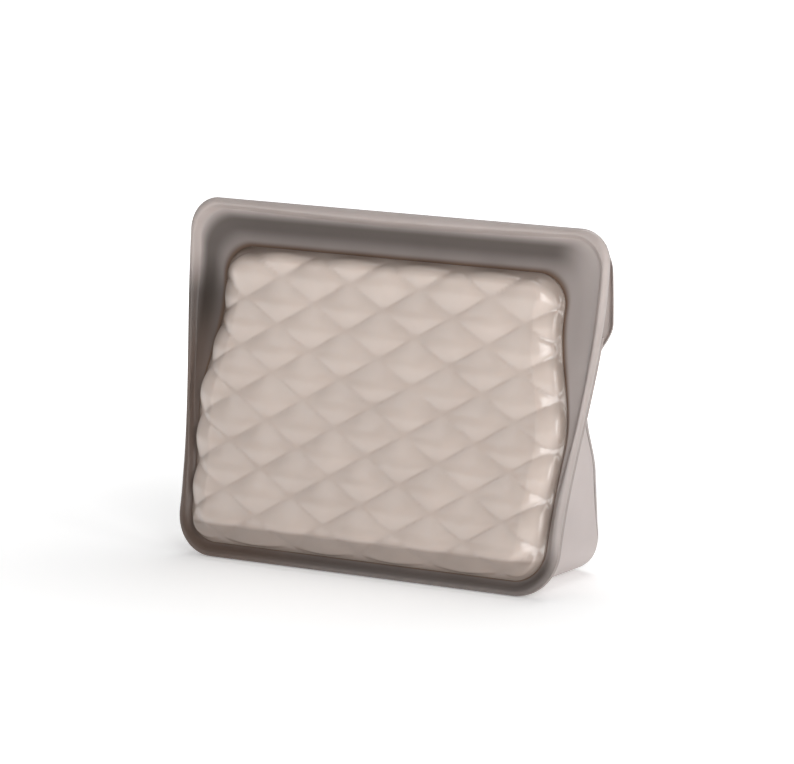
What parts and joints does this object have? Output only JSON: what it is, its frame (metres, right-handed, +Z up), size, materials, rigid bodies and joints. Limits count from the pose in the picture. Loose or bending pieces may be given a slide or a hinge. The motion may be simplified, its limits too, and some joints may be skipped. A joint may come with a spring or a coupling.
{
  "type": "reusable silicone bag",
  "caption": "Stand-up reusable silicone food bag: quilted front and rear walls, a moulded tub with side gussets, flared lips and a press-to-close mouth.",
  "frame": {"origin": "bottom centre of the bag", "axes": "+Z up, front wall towards -Y, the mouth's long side along X"},
  "size_m": [0.1906, 0.0635, 0.1397],
  "materials": {
    "frame_silicone": "satin translucent",
    "pillow_silicone": "glossy translucent",
    "lip_silicone": "satin translucent",
    "seal_silicone": "satin translucent",
    "tub_silicone": "satin translucent"
  },
  "bodies": {
    "tub": {"tub_rim": "frame_silicone", "tub_base": "tub_silicone", "left_gusset": "tub_silicone", "right_gusset": "tub_silicone", "left_side_seam": "frame_silicone", "right_side_seam": "frame_silicone"},
    "front_wall": {"front_frame": "frame_silicone", "front_pillow": "pillow_silicone", "front_flange": "frame_silicone", "front_lip": "lip_silicone", "seal_rib": "seal_silicone"},
    "rear_wall": {"rear_frame": "frame_silicone", "rear_pillow": "pillow_silicone", "rear_flange": "frame_silicone", "rear_lip": "lip_silicone", "seal_channel": "seal_silicone"}
  },
  "joints": [
    {"name": "front_wall_open", "type": "hinge", "parent": "tub", "child": "front_wall", "pos_m": [0, -0.0266, 0], "axis": [1, 0, 0], "range_deg": [0, 14], "stiffness_Nm_per_rad": 0.02, "springref_deg": -5.73},
    {"name": "rear_wall_open", "type": "hinge", "parent": "tub", "child": "rear_wall", "pos_m": [0, 0.0249, 0], "axis": [-1, 0, 0], "range_deg": [0, 14], "stiffness_Nm_per_rad": 0.02, "springref_deg": -5.73}
  ]
}
